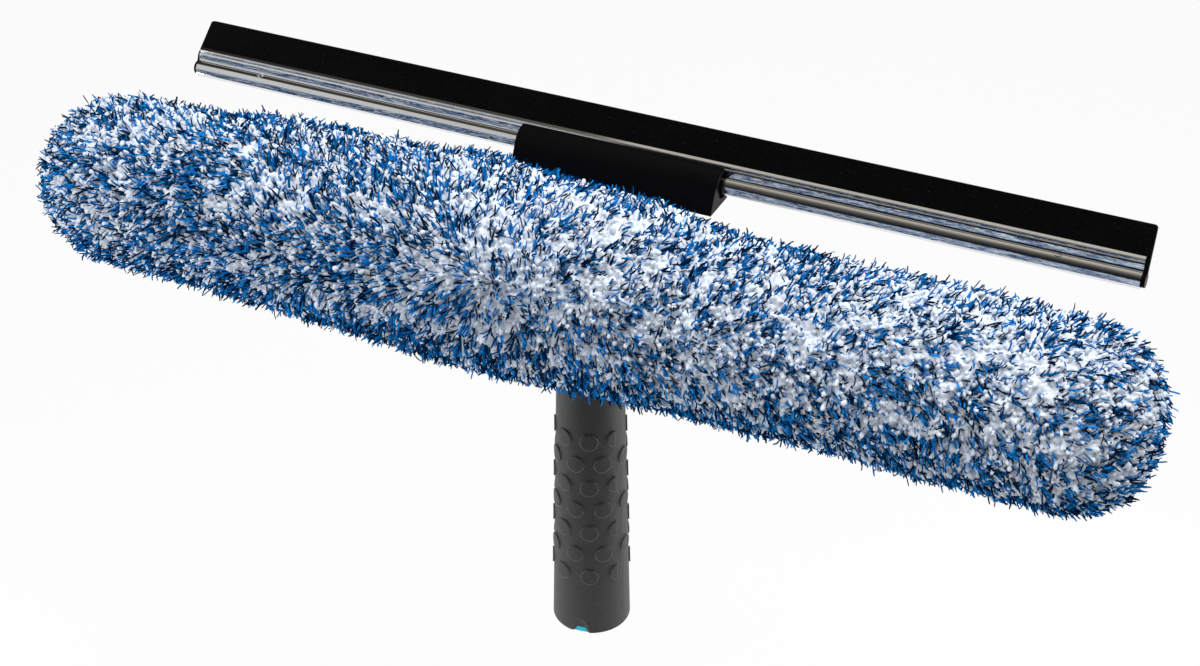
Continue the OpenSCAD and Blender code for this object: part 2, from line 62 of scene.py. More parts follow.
# Roughly how many tufts and strands the pile has, at the spacings in millimetres of their places
TUFTS, TUFT_SPACING = 9000, 3.0
STRANDS, LOCK_SPACING, STRAND_SPACING = 56000, 2.55, 3.0

# Axis of the sleeve, from the middle of its crossbar
BAR = [(a + b) / 2 for a, b in zip(*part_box("crossbar"))]
SLEEVE_LOW, SLEEVE_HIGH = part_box("sleeve")
SLEEVE_HALF = (SLEEVE_HIGH.x - SLEEVE_LOW.x) / 2
SLEEVE_R = BAR[1] - SLEEVE_LOW.y


# ---- Settings ----


class StageSettings(bpy.types.PropertyGroup):
    """Floor, lamps and camera."""

    floor_drop: bpy.props.FloatProperty(
        name="Floor drop", description="Height of the handle's mouth above the floor",
        default=0.15, min=0.0, max=1.0, subtype="DISTANCE", unit="LENGTH")
    key_power: bpy.props.FloatProperty(
        name="Key lamp", description="Power of the large lamp above the tool, in watts",
        default=17.0, min=0.0, max=200.0, unit="POWER")
    fill_power: bpy.props.FloatProperty(
        name="Fill lamp", description="Power of the lamp in front of the tool, in watts",
        default=4.0, min=0.0, max=200.0, unit="POWER")
    side_power: bpy.props.FloatProperty(
        name="Side lamps", description="Power of each small lamp beside the handle, in watts",
        default=1.3, min=0.0, max=50.0, unit="POWER")
    sky: bpy.props.FloatProperty(
        name="Room light", description="Strength of the even light from all round",
        default=0.36, min=0.0, max=2.0)
    lens: bpy.props.FloatProperty(
        name="Lens", description="Focal length of the camera, in millimetres",
        default=68.8, min=20.0, max=200.0, unit="CAMERA")


class HandleSettings(bpy.types.PropertyGroup):
    """Colours of the handle and the head."""

    grip: bpy.props.FloatVectorProperty(
        name="Grip", description="Colour of the soft grip",
        default=(0.03, 0.0303, 0.031), size=3, min=0.0, max=1.0, subtype="COLOR")
    insert: bpy.props.FloatVectorProperty(
        name="Insert", description="Colour of the pole socket insert",
        default=(0.0, 0.5, 0.72), size=3, min=0.0, max=1.0, subtype="COLOR")
    head: bpy.props.FloatVectorProperty(
        name="Head", description="Colour of the moulded head",
        default=(0.0016, 0.0016, 0.0018), size=3, min=0.0, max=1.0, subtype="COLOR")


class BladeSettings(bpy.types.PropertyGroup):
    """Colours of the channel and the blade."""

    steel: bpy.props.FloatVectorProperty(
        name="Steel", description="Colour of the polished channel",
        default=(0.78, 0.79, 0.8), size=3, min=0.0, max=1.0, subtype="COLOR")
    rubber: bpy.props.FloatVectorProperty(
        name="Rubber", description="Colour of the wiping rubber",
        default=(0.0018, 0.0018, 0.002), size=3, min=0.0, max=1.0, subtype="COLOR")


class PileSettings(bpy.types.PropertyGroup):
    """Size and colours of the microfibre pile."""

    tufts: bpy.props.IntProperty(
        name="White tufts", description="Rough number of plump white tufts",
        default=TUFTS, min=500, max=14000)
    strands: bpy.props.IntProperty(
        name="Blue strands", description="Rough number of thick blue locks and thin strands",
        default=STRANDS, min=1000, max=60000)
    pile_length: bpy.props.FloatProperty(
        name="Pile length", description="Length of which each tuft and strand takes a share",
        default=0.011, min=0.004, max=0.02, subtype="DISTANCE", unit="LENGTH")
    white: bpy.props.FloatVectorProperty(
        name="White", description="Colour of the tufts",
        default=(0.615, 0.665, 0.74), size=3, min=0.0, max=1.0, subtype="COLOR")
    blue: bpy.props.FloatVectorProperty(
        name="Blue", description="Colour of the brightest strands",
        default=(0.006, 0.145, 0.42), size=3, min=0.0, max=1.0, subtype="COLOR")
    navy: bpy.props.FloatVectorProperty(
        name="Navy", description="Colour of the darkest strands",
        default=(0.001, 0.008, 0.036), size=3, min=0.0, max=1.0, subtype="COLOR")


def settings(group):
    """One group of settings of the scene, by its short name."""
    return getattr(bpy.context.scene, "squeegee_" + group)


# ---- Materials ----


class Nodes:
    """Node tree of a new material, with short calls to add and link its nodes."""

    def __init__(self, name):
        """Starts the material, with its main shader and its output."""
        self.material = bpy.data.materials.new(name)
        self.material.use_nodes = True
        self.tree = self.material.node_tree
        self.shader = self.tree.nodes["Principled BSDF"]
        self.output = self.tree.nodes["Material Output"]

    def add(self, kind, values=None, **properties):
        """Adds a node, sets its properties, and sets or links the inputs that values names."""
        node = self.tree.nodes.new(kind)
        for key, value in properties.items():
            setattr(node, key, value)
        for key, value in (values or {}).items():
            if isinstance(value, bpy.types.NodeSocket):
                self.tree.links.new(value, node.inputs[key])
            else:
                node.inputs[key].default_value = value
        return node

    def set(self, **values):
        """Sets or links sockets of the main shader, named with _ for a space."""
        for key, value in values.items():
            socket = self.shader.inputs[key.replace("_", " ")]
            if isinstance(value, bpy.types.NodeSocket):
                self.tree.links.new(value, socket)
            else:
                socket.default_value = value

    def place(self, scale=(1.0, 1.0, 1.0)):
        """Object coordinates, scaled."""
        coordinates = self.add("ShaderNodeTexCoord")
        return self.add("ShaderNodeMapping", {
            "Vector": coordinates.outputs["Object"], "Scale": scale,
        }).outputs["Vector"]

    def noise(self, where, scale, detail=2.0, rough=0.5):
        """A grey noise in space, 0 to 1."""
        return self.add("ShaderNodeTexNoise", {
            "Vector": where, "Scale": scale, "Detail": detail, "Roughness": rough,
        }).outputs["Fac"]

    def ramp(self, value, stops):
        """A colour or grey level for each level of value, from (level, colour) pairs."""
        node = self.add("ShaderNodeValToRGB", {"Fac": value})
        ramp = node.color_ramp
        while len(ramp.elements) < len(stops):
            ramp.elements.new(0.5)
        for element, (at, colour) in zip(ramp.elements, stops):
            element.position = at
            if not hasattr(colour, "__len__"):
                colour = (colour, colour, colour)
            element.color = (*colour, 1.0)
        return node.outputs["Color"]

    def math(self, operation, a, b=0.0):
        """One step of arithmetic on numbers or sockets."""
        return self.add("ShaderNodeMath", {0: a, 1: b}, operation=operation).outputs[0]

    def mix(self, factor, a, b):
        """Mixes two colours."""
        node = self.add("ShaderNodeMix", {0: factor}, data_type="RGBA")
        for key, value in ((6, a), (7, b)):
            if isinstance(value, bpy.types.NodeSocket):
                self.tree.links.new(value, node.inputs[key])
            else:
                node.inputs[key].default_value = (*value[:3], 1.0)
        return node.outputs[2]

    def attribute(self, name):
        """The mesh's own number of that name."""
        return self.add("ShaderNodeAttribute", attribute_name=name).outputs["Fac"]

    def edges(self, radius):
        """How near a point lies to an edge that turns down, and to one that turns up, 0 to 1,
        and the normal rounded over at the edges by the radius in metres."""
        rounded = self.add("ShaderNodeBevel", {"Radius": radius}, samples=6).outputs["Normal"]
        flat = self.add("ShaderNodeNewGeometry").outputs["True Normal"]
        turn = self.add("ShaderNodeVectorMath", {0: rounded, 1: flat}, operation="SUBTRACT")
        parts = self.add("ShaderNodeSeparateXYZ", {"Vector": turn.outputs[0]})
        length = self.add("ShaderNodeVectorMath", {0: turn.outputs[0]}, operation="LENGTH")
        edge = self.ramp(length.outputs["Value"], [(0.12, 0.0), (0.35, 1.0)])
        rise = self.math("ADD", parts.outputs["Z"], 0.5)
        down = self.math("MULTIPLY", edge, self.ramp(rise, [(0.42, 1.0), (0.56, 0.0)]))
        return down, self.ramp(rise, [(0.56, 0.0), (0.72, 1.0)]), rounded

    def bump(self, height, strength, distance, under=None):
        """A normal tilted by a height, on top of the normal given as under."""
        values = {"Height": height, "Strength": strength, "Distance": distance}
        if under is not None:
            values["Normal"] = under
        return self.add("ShaderNodeBump", values).outputs["Normal"]


def tint(colour, factor):
    """A colour made lighter or darker by one factor."""
    return tuple(min(1.0, c * factor) for c in colour[:3])


def moulded_plastic(name, colour, rough, grain, wear=0.15, gloss=0.5):
    """Moulded plastic: a fine grain, slow changes of sheen and rubbed, slightly paler places."""
    n = Nodes(name)
    where = n.place()
    fine = n.noise(where, 2600.0, 3.0, 0.6)
    slow = n.noise(where, 38.0, 3.0)
    worn = n.ramp(n.noise(where, 120.0, 5.0, 0.65), [(0.42, 0.0), (0.72, 1.0)])
    n.set(
        Base_Color=n.mix(n.math("MULTIPLY", worn, wear), colour, tint(colour, 2.4)),
        Roughness=n.math("ADD", rough - 0.08, n.math("MULTIPLY", slow, 0.16)),
        Specular_IOR_Level=gloss,
        Normal=n.bump(fine, grain, 0.00006),
    )
    return n.material


def soft_grip(name, colour):
    """Soft textured grip: a fine leathery grain, a dusty tone on the raised grain, a painted
    highlight along the lower rounded edges of the pads and painted shade along their upper edges,
    two hair lines where the mould parts, a dull sheen, and painted shadow of the sleeve that makes
    it darker towards its top."""
    n = Nodes(name)
    where = n.place()
    grain = n.noise(where, 2600.0, 3.0, 0.6)
    pebble = n.noise(where, 700.0, 2.0)
    slow = n.noise(where, 30.0, 3.0)
    height = n.math("ADD", grain, n.math("MULTIPLY", pebble, 0.3))
    dust = n.ramp(height, [(0.55, 0.0), (0.8, 1.0)])
    shade = n.mix(dust, tint(colour, 0.75), tint(colour, 1.6))
    # The lower rounded rims of the pads get a painted highlight (low), and their upper edges
    # painted shade (high)
    low, high, rounded = n.edges(0.0006)
    parts = n.add("ShaderNodeSeparateXYZ", {"Vector": where})
    half_gap = 0.0008
    away = n.math("ABSOLUTE", parts.outputs["Y"])
    beside = n.math("ABSOLUTE", n.math("SUBTRACT", away, half_gap))
    line = n.ramp(n.math("MULTIPLY", beside, 500.0), [(0.06, 1.0), (0.16, 0.0)])
    shade = n.mix(n.math("MULTIPLY", slow, 0.35), shade, tint(colour, 0.7))
    # Painted shadow of the sleeve: the grip gets darker towards its top
    painted_shadow_height = n.math("MULTIPLY", parts.outputs["Z"], 8.0)
    shade = n.mix(n.ramp(painted_shadow_height, [(0.15, 0.0), (1.0, 0.8)]), shade, tint(colour, 0.15))
    # pale joins the hair lines where the mould parts and the painted highlight on the lower rims
    pale = n.math("MAXIMUM", low, n.math("MULTIPLY", line, 0.35))
    n.set(
        # Base colour: painted shade on the upper edges of the pads, painted highlight on their
        # lower rims
        Base_Color=n.mix(high, n.mix(pale, shade, tint(colour, 6.0)), tint(colour, 0.1)),
        Roughness=0.46,
        Specular_IOR_Level=0.32,
        Normal=n.bump(n.math("SUBTRACT", height, line), 1.0, 0.0002, under=rounded),
    )
    return n.material


def polished_steel(name, colour):
    """Polished steel strip: bright, with faint drawn lines along its length and a few dull
    scuffs."""
    n = Nodes(name)
    drawn = n.noise(n.place((6.0, 900.0, 900.0)), 1.0, 3.0, 0.6)
    scuffs = n.ramp(n.noise(n.place((20.0, 160.0, 160.0)), 1.0, 4.0, 0.7),
                    [(0.56, 0.0), (0.72, 1.0)])
    rough = n.math("ADD", 0.045, n.math("MULTIPLY", drawn, 0.05))
    n.set(
        Base_Color=n.mix(scuffs, colour, tint(colour, 0.93)),
        Metallic=1.0,
        Roughness=n.math("ADD", rough, n.math("MULTIPLY", scuffs, 0.10)),
        Normal=n.bump(drawn, 0.03, 0.00005),
    )
    return n.material


def machine_steel(name, colour):
    """Steel of the screws and the pin: turned, slightly mottled."""
    n = Nodes(name)
    mottle = n.noise(n.place(), 900.0, 3.0)
    n.set(
        Base_Color=n.mix(mottle, tint(colour, 0.75), colour),
        Metallic=1.0,
        Roughness=n.math("ADD", 0.22, n.math("MULTIPLY", mottle, 0.2)),
        Normal=n.bump(mottle, 0.08, 0.00005),
    )
    return n.material


def wiping_rubber(name, colour):
    """Black rubber: faint streaks along its length, a few dry specks and a soft sheen."""
    n = Nodes(name)
    streaks = n.noise(n.place((14.0, 700.0, 700.0)), 1.0, 4.0, 0.6)
    specks = n.ramp(n.noise(n.place(), 1300.0, 2.0), [(0.66, 0.0), (0.74, 1.0)])
    dust = n.ramp(n.noise(n.place((30.0, 90.0, 90.0)), 1.0, 5.0, 0.7), [(0.5, 0.0), (0.8, 1.0)])
    shade = n.mix(n.math("MULTIPLY", dust, 0.5), colour, tint(colour, 2.6))
    n.set(
        Base_Color=n.mix(n.math("MULTIPLY", specks, 0.3), shade, (0.06, 0.06, 0.06)),
        Roughness=n.math("ADD", 0.42, n.math("MULTIPLY", streaks, 0.18)),
        Specular_IOR_Level=0.035,
        Normal=n.bump(streaks, 0.12, 0.00008),
    )
    return n.material


def strip_weave(name, colour, pitch):
    """Fastening strip: rows of small loops or hooks on a woven tape."""
    n = Nodes(name)
    cells = n.add("ShaderNodeTexVoronoi", {"Vector": n.place(), "Scale": 1.0 / pitch,
                                            "Randomness": 0.45})
    n.set(
        Base_Color=n.mix(cells.outputs["Distance"], tint(colour, 1.3), tint(colour, 0.5)),
        Roughness=0.8,
        Sheen_Weight=0.3,
        Normal=n.bump(cells.outputs["Distance"], 0.8, 0.0004),
    )
    return n.material


def dress(node, material):
    """Gives one CAD node its material, in place of what it had."""
    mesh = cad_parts[node].data
    mesh.materials.clear()
    mesh.materials.append(material)


# ---- Stage ----


def put(name, data, axes, where):
    """Adds a camera or lamp that stands at a place and looks against its third axis."""
    thing = bpy.data.objects.new(name, data)
    bpy.context.scene.collection.objects.link(thing)
    turn = np.eye(4)
    turn[:3, :3] = np.transpose(axes)
    turn[:3, 3] = where
    thing.matrix_world = Matrix(turn.tolist())
    return thing


class SQUEEGEE_OT_stage(bpy.types.Operator):
    """Sets up the floor, the lamps, the card that the steel mirrors, and the camera"""

    bl_idname = "squeegee.stage"
    bl_label = "Stage"

    def execute(self, context):
        look = settings("stage")
        scene = context.scene
        scene.view_settings.view_transform = "Standard"
        self.camera(scene, look)
        self.floor(look)
        self.room(scene, look)
        self.lamps(look)
        self.card()
        return {"FINISHED"}

    def camera(self, scene, look):
        """A long lens above and to the right of the tool, on its scrubbing side."""
        right = np.array([0.9046, 0.4262, -0.0025])
        up = np.array([-0.2314, 0.4961, 0.8368])
        back = np.array([0.3579, -0.7564, 0.5474])
        aim = np.array([0.0, 0.0, 0.15])
        distance, shift_right, shift_up = 1.04104, 0.004372, 0.009591
        where = aim + distance * back + shift_right * right + shift_up * up
        data = bpy.data.cameras.new("camera")
        data.lens = look.lens
        data.sensor_width = 36.0
        data.clip_start = 0.05
        scene.camera = put("camera", data, (right, up, back), where)

    def floor(self, look):
        """A wide pale floor, nearly white to the eye, that still takes the tool's shadow."""
        reach, low = 6.0, -look.floor_drop
        points = np.array([[-reach, -reach, low], [reach, -reach, low],
                           [reach, reach, low], [-reach, reach, low]])
        n = Nodes("floor_paper")
        n.set(Base_Color=(0.7, 0.7, 0.7, 1.0), Roughness=0.9)
        rays = n.add("ShaderNodeLightPath")
        seen = n.math("MAXIMUM", rays.outputs["Is Camera Ray"], rays.outputs["Is Glossy Ray"])
        white = n.add("ShaderNodeEmission", {"Color": (1.0, 1.0, 1.0, 1.0), "Strength": 1.0})
        both = n.add("ShaderNodeMixShader", {
            0: n.math("MULTIPLY", seen, 0.92), 1: n.shader.outputs[0], 2: white.outputs[0]})
        n.tree.links.new(both.outputs[0], n.output.inputs["Surface"])
        plane = piece("stage_floor", points, np.array([[0, 1, 2, 3]]), n.material, smooth=False)

    def room(self, scene, look):
        """Even light from all round, plain white to the camera and in the steel."""
        world = bpy.data.worlds.new("room")
        scene.world = world
        world.use_nodes = True
        tree = world.node_tree
        tree.nodes.clear()
        rays = tree.nodes.new("ShaderNodeLightPath")
        mirrored = tree.nodes.new("ShaderNodeMath")
        mirrored.operation = "MAXIMUM"
        seen = tree.nodes.new("ShaderNodeMath")
        seen.operation = "MAXIMUM"
        mixed = tree.nodes.new("ShaderNodeMixShader")
        output = tree.nodes.new("ShaderNodeOutputWorld")
        dim = tree.nodes.new("ShaderNodeBackground")
        dim.inputs["Color"].default_value = (0.96, 0.98, 1.0, 1.0)
        dim.inputs["Strength"].default_value = look.sky
        white = tree.nodes.new("ShaderNodeBackground")
        white.inputs["Color"].default_value = (1.0, 1.0, 1.0, 1.0)
        white.inputs["Strength"].default_value = 1.0
        link = tree.links.new
        link(rays.outputs["Is Glossy Ray"], mirrored.inputs[0])
        link(rays.outputs["Is Transmission Ray"], mirrored.inputs[1])
        link(rays.outputs["Is Camera Ray"], seen.inputs[0])
        link(mirrored.outputs[0], seen.inputs[1])
        link(seen.outputs[0], mixed.inputs[0])
        link(dim.outputs[0], mixed.inputs[1])
        link(white.outputs[0], mixed.inputs[2])
        link(mixed.outputs[0], output.inputs["Surface"])

    def lamps(self, look):
        """A large lamp above and a little to the right, a weaker one low in front, and two low
        ones beside the handle."""
        for name, power, size, where, aim in (
            ("key", look.key_power, 1.0, (0.3, 0.05, 1.35), (0.0, 0.0, 0.2)),
            ("fill", look.fill_power, 0.9, (-0.4, -0.85, 1.1), (0.0, 0.0, 0.15)),
            ("side_left", look.side_power, 0.25, (-0.45, -0.25, 0.02), (0.0, 0.0, 0.02)),
            ("side_right", look.side_power, 0.25, (0.42, 0.2, 0.02), (0.0, 0.0, 0.02)),
        ):
            data = bpy.data.lights.new(name, "AREA")
            data.energy = power
            data.size = size
            back = np.subtract(where, aim)
            back = back / np.linalg.norm(back)
            right = np.cross([0.0, 0.0, 1.0], back)
            right = right / np.linalg.norm(right)
            put(name, data, (right, np.cross(back, right), back), where)

    def card(self):
        """A wide half pipe along X round the front of the blade, that only mirror-like surfaces
        see. Its tone goes by the angle up from the level in front: dark near the level and
        lighter towards the top, but on the left a light wall stands under a dark ceiling."""
        reach, middle_y, middle_z = 0.62, 0.034, 0.238
        x = np.array([-1.0, -0.6, -0.42, -0.32, -0.265, -0.235, 0.2, 0.9])
        degrees = np.linspace(-12, 155, 130)
        at = [-12, 6, 19, 31, 44, 57, 71, 85, 98, 137, 155]
        right = np.stack([np.interp(degrees, at, tone) for tone in (
            (0.02, 0.01, 0.012, 0.014, 0.037, 0.083, 0.16, 0.32, 0.49, 0.73, 0.8),
            (0.03, 0.013, 0.012, 0.014, 0.036, 0.08, 0.153, 0.3, 0.455, 0.68, 0.75),
            (0.06, 0.023, 0.014, 0.015, 0.033, 0.072, 0.135, 0.26, 0.38, 0.59, 0.66))], 1)
        at = [-12, 8, 24, 64, 72, 120, 155]
        left = np.stack([np.interp(degrees, at, tone) for tone in (
            (0.1, 0.6, 0.66, 0.64, 0.05, 0.015, 0.2),
            (0.14, 0.6, 0.66, 0.64, 0.045, 0.014, 0.2),
            (0.2, 0.6, 0.66, 0.62, 0.035, 0.012, 0.19))], 1)
        share = np.interp(x, [-0.6, -0.32, -0.265, -0.235], [0.0, 0.12, 0.25, 1.0])[:, None, None]
        tones = left[None] * (1 - share) + right[None] * share
        angle = np.radians(degrees)
        grid = np.zeros((len(x), len(degrees), 3))
        grid[..., 0] = x[:, None]
        grid[..., 1] = middle_y - reach * np.cos(angle)
        grid[..., 2] = middle_z + reach * np.sin(angle)
        n = Nodes("card_gradient")
        tone = n.add("ShaderNodeAttribute", attribute_name="tone").outputs["Color"]
        glow = n.add("ShaderNodeEmission", {"Color": tone, "Strength": 1.0})
        n.tree.links.new(glow.outputs[0], n.output.inputs["Surface"])
        rows, columns = grid.shape[:2]
        card = piece("stage_card", grid.reshape(-1, 3), grid_faces(rows, columns), n.material,
                     attributes={"tone": tones.reshape(-1, 3)})
        card.visible_camera = False
        card.visible_diffuse = False
        card.visible_shadow = False
        card.visible_transmission = False


# ---- Meshes ----


def piece(name, points, faces, material, smooth=True, attributes=None):
    """Makes a mesh piece from corner points (n, 3) and faces with equally many corners (m, k),
    with one number or one colour per point for each named attribute."""
    mesh = bpy.data.meshes.new(name)
    faces = np.ascontiguousarray(faces, np.int32)
    count, corners = faces.shape
    mesh.vertices.add(len(points))
    mesh.vertices.foreach_set("co", np.ascontiguousarray(points, np.float32).ravel())
    mesh.loops.add(count * corners)
    mesh.loops.foreach_set("vertex_index", faces.ravel())
    mesh.polygons.add(count)
    mesh.polygons.foreach_set("loop_start", np.arange(count, dtype=np.int32) * corners)
    mesh.polygons.foreach_set("use_smooth", np.full(count, smooth))
    mesh.update(calc_edges=True)
    for key, values in (attributes or {}).items():
        if np.ndim(values) == 2:
            layer = mesh.attributes.new(key, "FLOAT_COLOR", "POINT")
            values = np.concatenate([values, np.ones((len(values), 1))], 1)
        else:
            layer = mesh.attributes.new(key, "FLOAT", "POINT")
        field = "color" if layer.data_type == "FLOAT_COLOR" else "value"
        layer.data.foreach_set(field, np.ascontiguousarray(values, np.float32).ravel())
    mesh.materials.append(material)
    made = bpy.data.objects.new(name, mesh)
    bpy.context.scene.collection.objects.link(made)
    return made


def grid_faces(rows, columns, around=False):
    """Faces of a grid of points with rows lines of columns points, joined round if asked."""
    across = columns if around else columns - 1
    i, j = np.meshgrid(np.arange(rows - 1), np.arange(across), indexing="ij")
    k = (j + 1) % columns
    return np.stack([i * columns + j, i * columns + k, (i + 1) * columns + k,
                     (i + 1) * columns + j], -1).reshape(-1, 4)


# ---- Finishes of the CAD nodes ----


class SQUEEGEE_OT_handle(bpy.types.Operator):
    """Finishes the grip, the tube under it and the pole socket"""

    bl_idname = "squeegee.handle"
    bl_label = "Handle"

    def execute(self, context):
        look = settings("handle")
        dress("grip", soft_grip("grip_rubber", look.grip))
        dress("pole_socket", moulded_plastic("insert_plastic", look.insert, 0.45, 0.15))
        dress("handle_core", moulded_plastic("core_plastic", BLACK_PLASTIC, 0.5, 0.3))
        return {"FINISHED"}


class SQUEEGEE_OT_head(bpy.types.Operator):
    """Finishes the moulded head, the clamp plate, the crossbar and the fasteners"""

    bl_idname = "squeegee.head"
    bl_label = "Head"

    def execute(self, context):
        look = settings("handle")
        moulded = moulded_plastic("head_plastic", look.head, 0.4, 0.25, gloss=0.06)
        for node in ("head", "clamp_plate"):
            dress(node, moulded)
        bar = moulded_plastic("bar_plastic", BLACK_PLASTIC, 0.5, 0.3)
        for node in ("crossbar", "cap_left", "cap_right"):
            dress(node, bar)
        steel = machine_steel("screw_steel", (0.55, 0.55, 0.56))
        for node in ("clamp_screws", "saddle_screws", "neck_pin"):
            dress(node, steel)
        return {"FINISHED"}


class SQUEEGEE_OT_blade(bpy.types.Operator):
    """Finishes the steel channel and the rubber blade"""

    bl_idname = "squeegee.blade"
    bl_label = "Channel and blade"

    def execute(self, context):
        look = settings("blade")
        dress("channel", polished_steel("channel_steel", look.steel))
        dress("rubber_blade", wiping_rubber("blade_rubber", look.rubber))
        return {"FINISHED"}


class SQUEEGEE_OT_strips(bpy.types.Operator):
    """Finishes the strips that fasten the sleeve's edges together"""

    bl_idname = "squeegee.strips"
    bl_label = "Closure strips"

    def execute(self, context):
        for node, name, colour, pitch in (
            ("hook_strips", "hook_tape", (0.02, 0.02, 0.024), 0.0011),
            ("loop_strips", "loop_tape", (0.5, 0.52, 0.58), 0.0008),
        ):
            dress(node, strip_weave(name, colour, pitch))
        return {"FINISHED"}


# ---- Pile of the sleeve ----

# Middle of the front, where the pile parts and from which it lies away to all sides
PARTING_X = -20.0
PARTING_ANGLE = math.radians(25)
# Half width of the opening for the neck, the angles round the bar that it spans, and the radius
# at which a margin round it is turned into an angle
NECK_HALF = 18.2
NECK_FROM, NECK_TO = math.radians(160), math.radians(238)
NECK_R = 34.0
# The plain surface under the pile: how far its side lies within the sleeve, and for each end how
# far its pole lies within the sleeve, how long its rounding is and how square
PILE_DEPTH = 7.5
LEFT_END = (3.0, 38.0, 2.25)
RIGHT_END = (5.0, 32.0, 2.6)
# Radius from which the sleeve swells in full, and the least distance of a root from a pole
SWELL_R = 30.0
POLE_GAP = 0.3
# Steps in which the path of a hair is worked out
HAIR_STEPS = 12


def waves(point, length, seed, count=24):
    """A smooth random field in space, about -1 to 1: a sum of cosines that run in random
    directions, with lengths near the given one."""
    rng = np.random.default_rng(seed)
    way = rng.normal(size=(count, 3))
    way *= (2 * math.pi / (length * rng.uniform(0.75, 1.35, count))
            / np.linalg.norm(way, axis=1))[:, None]
    start = rng.uniform(0, 2 * math.pi, count)
    return np.cos(point @ way.T + start).sum(-1) / math.sqrt(count / 2) / 1.6


def fullness(x, angle):
    """How far the sleeve swells out beyond its plain round shape, in millimetres: most along its
    top left of the middle, less below. Along X the top is a plateau between two smooth steps
    with a hump on it, and the bottom is one hump."""
    rise = 1 / (1 + np.exp(-(x + 160) / 9)) - 1 / (1 + np.exp(-(x - 52) / 9))
    top = 7.0 * rise + 3.5 * np.exp(-((x + 44) / 20) ** 2)
    low = 3.8 * np.exp(-((x + 30) / 62) ** 2)
    share = (1 + np.sin(angle)) / 2
    return low + (top - low) * share


class SleeveShape:
    """The round sleeve as a surface of two parameters: the distance s along its profile from the
    left pole to the right one, and the angle round its axis, 0 in front and a quarter turn at
    the top. The profile is a straight side between two quarters of a superellipse, which is
    squarer than an ellipse. Lengths are in millimetres."""

    def __init__(self, radius, left, right):
        """An end is given as the X of its pole, the length of its rounding and its squareness."""
        curve = np.concatenate([
            [left[0], 0.0] + self.quarter(radius, *left[1:]),
            [right[0], 0.0] - self.quarter(-radius, *right[1:])[::-1]])
        step = np.linalg.norm(np.diff(curve, axis=0), axis=1)
        self.s = np.concatenate([[0.0], np.cumsum(step)])
        self.curve = curve
        way = np.gradient(curve, self.s, axis=0)
        self.way = way / np.linalg.norm(way, axis=1)[:, None]
        self.length = self.s[-1]

    @staticmethod
    def quarter(radius, end, square):
        """Points of an end's profile from its pole, at (0, 0), to where the side begins."""
        turn = np.linspace(0, math.pi / 2, 120)
        return np.stack([end * (1 - np.cos(turn) ** (2 / square)),
                         radius * np.sin(turn) ** (2 / square)], 1)

    def profile(self, s):
        """X and radius of the profile at the distance s."""
        return np.interp(s, self.s, self.curve[:, 0]), np.interp(s, self.s, self.curve[:, 1])

    def at(self, s, angle, out=0.0):
        """Point, outward normal, direction along the profile and direction round the axis."""
        x, r = self.profile(s)
        dx = np.interp(s, self.s, self.way[:, 0])
        dr = np.interp(s, self.s, self.way[:, 1])
        norm = np.hypot(dx, dr)
        dx, dr = dx / norm, dr / norm
        ring = np.stack([0 * angle, -np.cos(angle), np.sin(angle)], -1)
        axis = np.array([1.0, 0.0, 0.0])
        normal = -dr[..., None] * axis + dx[..., None] * ring
        along = dx[..., None] * axis + dr[..., None] * ring
        around = np.stack([0 * angle, np.sin(angle), np.cos(angle)], -1)
        swell = fullness(x, angle) * np.clip(r / SWELL_R, 0, 1) + out
        centre = np.array([0.0, BAR[1] / MM, BAR[2] / MM])
        point = centre + x[..., None] * axis + r[..., None] * ring + swell[..., None] * normal
        return point, normal, along, around

    def scatter(self, spacing, seed):
        """Jittered places about one spacing apart: rings of evenly spread places, turned half a
        step from ring to ring and shaken by a third of the spacing."""
        rng = np.random.default_rng(seed)
        s = np.arange(spacing / 2, self.length, spacing * 0.87)
        count = np.maximum(3, np.round(2 * math.pi * self.profile(s)[1] / spacing).astype(int))
        ring = np.repeat(np.arange(len(s)), count)
        step = np.arange(len(ring)) - np.repeat(np.cumsum(count) - count, count)
        shake = rng.uniform(-0.36, 0.36, (2, len(ring)))
        angle = 2 * math.pi * (step + 0.5 * (ring % 2) + shake[0]) / count[ring]
        s = np.clip(s[ring] + shake[1] * spacing, POLE_GAP, self.length - POLE_GAP)
        return s, angle


def near_neck(x, angle, margin):
    """True where the opening for the neck is less than the margin away, in millimetres."""
    turn = np.mod(angle, 2 * math.pi)
    slack = margin / NECK_R
    return (abs(x) < NECK_HALF + margin) & (turn > NECK_FROM - slack) & (turn < NECK_TO + slack)


def felt(point):
    """The woolly surface of the white pile at points of the sleeve's plain surface: its height
    above them in millimetres, and how far each lies out of the valleys, 0 to 1. It is a sum of
    the sizes of smooth fields, which are round lobes with sharp valleys between them: large
    ones, and crumbs on them."""
    lobes = abs(waves(point, 9.0, 11))
    crumbs = abs(waves(point, 4.6, 12))
    small = abs(waves(point, 2.5, 13))
    height = 3.8 + 1.2 * np.minimum(lobes, 1.2) + 1.5 * np.minimum(crumbs, 1.1) + 1.1 * small
    return height, np.clip(0.25 * lobes + 0.6 * crumbs + 0.55 * small, 0, 1)


def streaks(point, angle):
    """Where blue pile gathers and white pile gives way to it, about -1 to 1: in clumps and
    streaks, more of it below, partly its own colour and partly painted shade on the underside,
    more towards the left end, and less in the middle."""
    fine = 0.3 * waves(point, 18.0, 43) + 0.62 * waves(point, 7.5, 44)
    right = np.clip((point[..., 0] + 120) / 300, 0, 1)
    middle = np.exp(-((point[..., 0] - 5) / 55) ** 2)
    # More dark blue pile below: partly its own colour, partly painted shade on the underside
    low = 0.9 * np.clip(-np.sin(angle) - 0.15, 0, 1)
    return fine + low - 0.03 - 0.22 * right - 0.14 * middle


